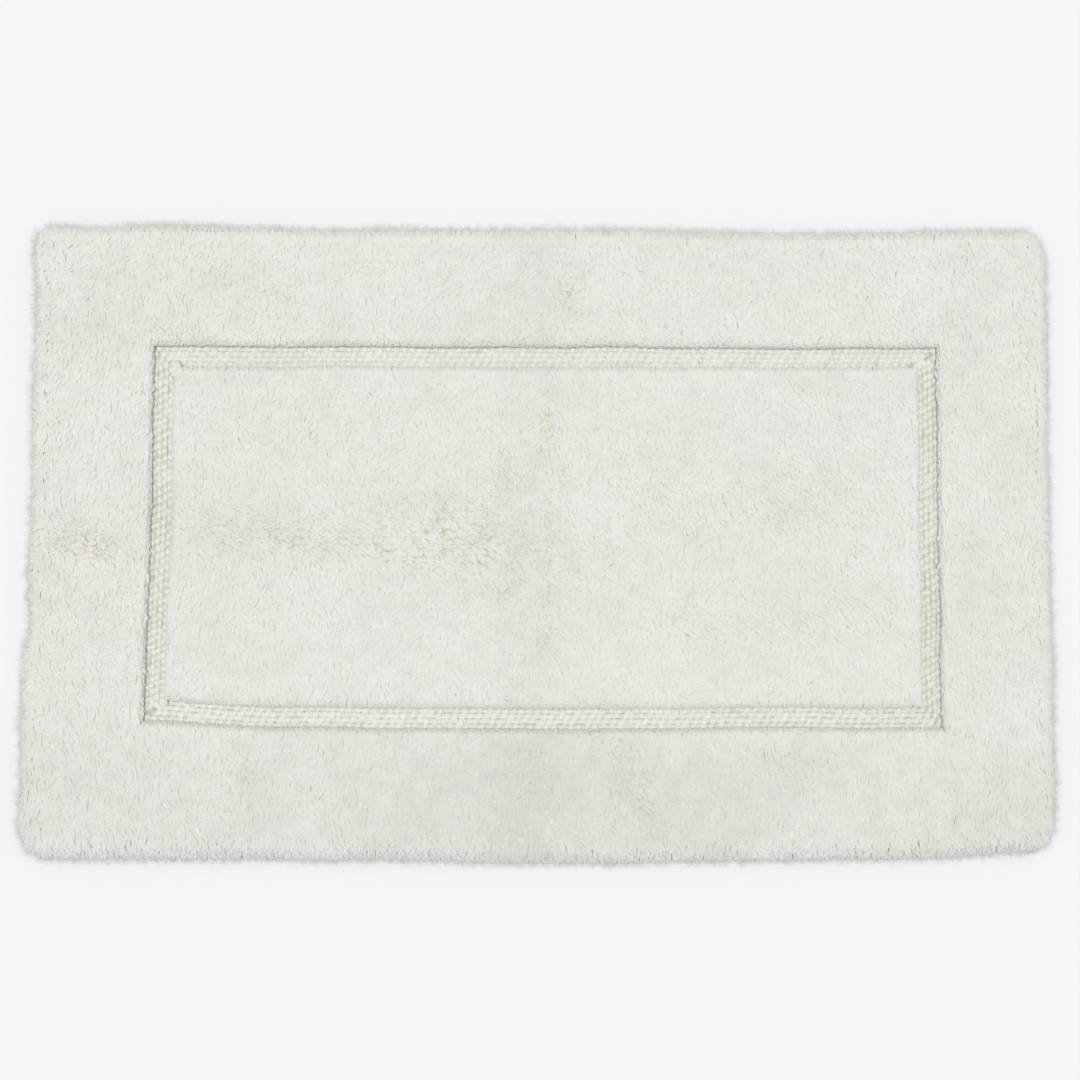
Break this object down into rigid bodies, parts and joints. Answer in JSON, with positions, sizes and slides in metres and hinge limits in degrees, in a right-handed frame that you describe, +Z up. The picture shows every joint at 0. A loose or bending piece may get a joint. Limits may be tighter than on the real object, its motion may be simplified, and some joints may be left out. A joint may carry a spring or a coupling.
{
  "type": "bath mat",
  "caption": "Rectangular tufted cotton bath mat with a deep cut-pile border and centre panel, parted by a sunk frame of loops, on a hemmed non-slip back.",
  "frame": {"origin": "middle of the underside, on the surface that the mat lies on", "axes": "+X along the long edge to the right, +Y across the short edge towards the back, +Z up out of the pile"},
  "size_m": [0.8, 0.5, 0.024],
  "materials": {
    "cut_pile": "soft matt off-white cotton yarn, cut and brushed into a dense grain of yarn ends",
    "loop_pile": "matt off-white cotton yarn in tight bead-like loops with warm cream crevices",
    "ground_cloth": "plain-woven unbleached cotton and polyester cloth",
    "latex": "semi-matt cream latex coat with a fine sprayed grain",
    "hem_tape": "off-white cotton herringbone tape",
    "seam_thread": "off-white polyester sewing thread",
    "label": "blank white satin ribbon"
  },
  "bodies": {
    "root": {"ground_cloth": "ground_cloth", "latex_backing": "latex", "care_label": "label", "centre_pile": "cut_pile", "border_pile_front": "cut_pile", "hem_tape_front": "hem_tape", "loop_row_front_1": "loop_pile", "loop_row_front_2": "loop_pile", "loop_row_front_3": "loop_pile", "loop_row_front_4": "loop_pile", "border_pile_right": "cut_pile", "hem_tape_right": "hem_tape", "loop_row_right_1": "loop_pile", "loop_row_right_2": "loop_pile", "loop_row_right_3": "loop_pile", "loop_row_right_4": "loop_pile", "border_pile_back": "cut_pile", "hem_tape_back": "hem_tape", "loop_row_back_1": "loop_pile", "loop_row_back_2": "loop_pile", "loop_row_back_3": "loop_pile", "loop_row_back_4": "loop_pile", "border_pile_left": "cut_pile", "hem_tape_left": "hem_tape", "loop_row_left_1": "loop_pile", "loop_row_left_2": "loop_pile", "loop_row_left_3": "loop_pile", "loop_row_left_4": "loop_pile", "seam_needle_thread": "seam_thread", "seam_bobbin_thread": "seam_thread"}
  },
  "joints": []
}
